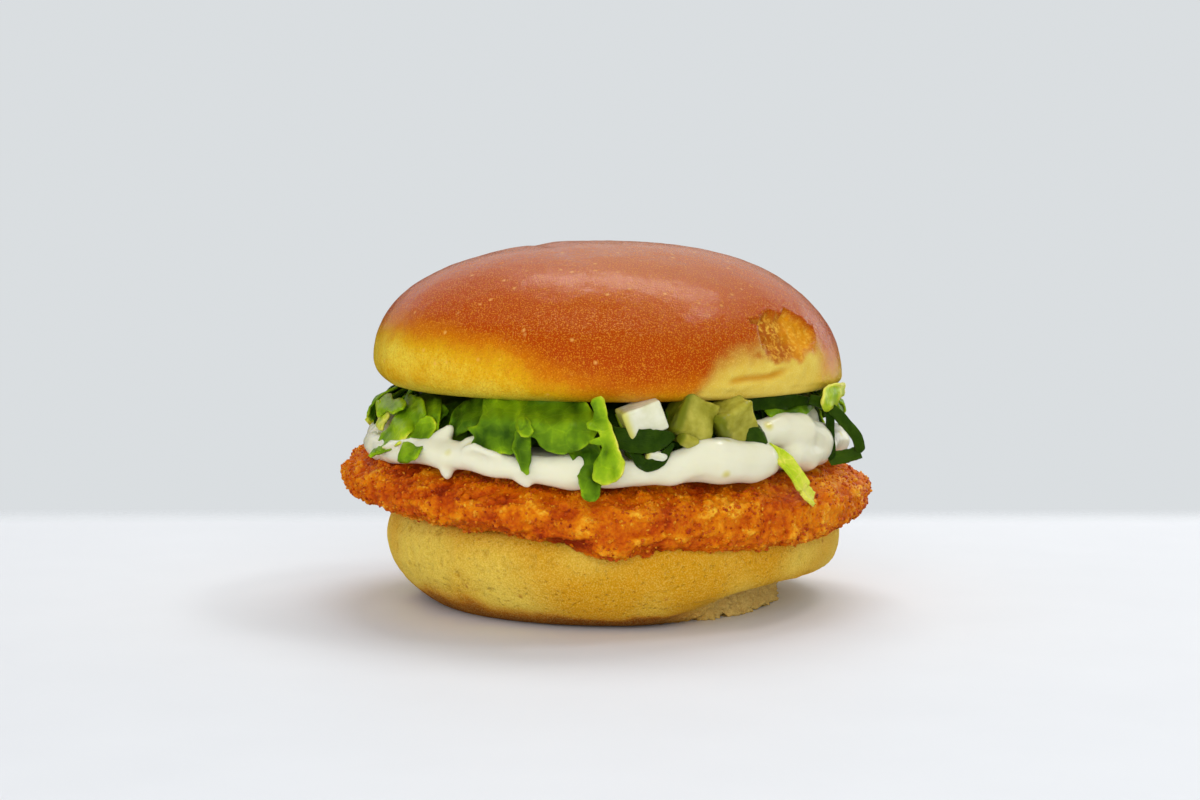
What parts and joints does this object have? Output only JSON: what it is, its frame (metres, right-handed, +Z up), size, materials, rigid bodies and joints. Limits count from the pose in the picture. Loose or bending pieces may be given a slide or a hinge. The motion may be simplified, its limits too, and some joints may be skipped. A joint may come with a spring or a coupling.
{
  "type": "chicken burger",
  "caption": "Chicken burger: a glazed brioche bun cut in two, a wide breaded chicken patty, thick white sauce, shredded salad and diced pickle.",
  "frame": {"origin": "on the table under the middle of the bun, at the bottom centre of the burger", "axes": "+Z up through the stack, +X to the right and -Y towards the open front where the salad hangs over the sauce"},
  "size_m": [0.1172, 0.1096, 0.0795],
  "materials": {
    "crust": "egg-washed brioche crust, satin, red-brown on top fading to yellow at the lower edge",
    "bread": "pale yellow bread with a browned lower edge, matte",
    "breading": "fried breadcrumbs, orange to deep brown, lightly oiled",
    "sauce": "thick mayonnaise sauce, cream white, wet gloss",
    "leaf": "fresh lettuce, mid to yellow green, waxy and see-through against light",
    "cucumber": "crisp pale cucumber flesh, wet",
    "pickle": "pickled cucumber, olive, glassy and wet"
  },
  "bodies": {
    "root": {"bun_heel": "bread", "patty": "breading", "sauce": "sauce", "salad": "leaf", "cucumber_dice": "cucumber", "pickle_dice_left": "pickle", "pickle_dice_right": "pickle", "bun_crown": "crust"}
  },
  "joints": []
}
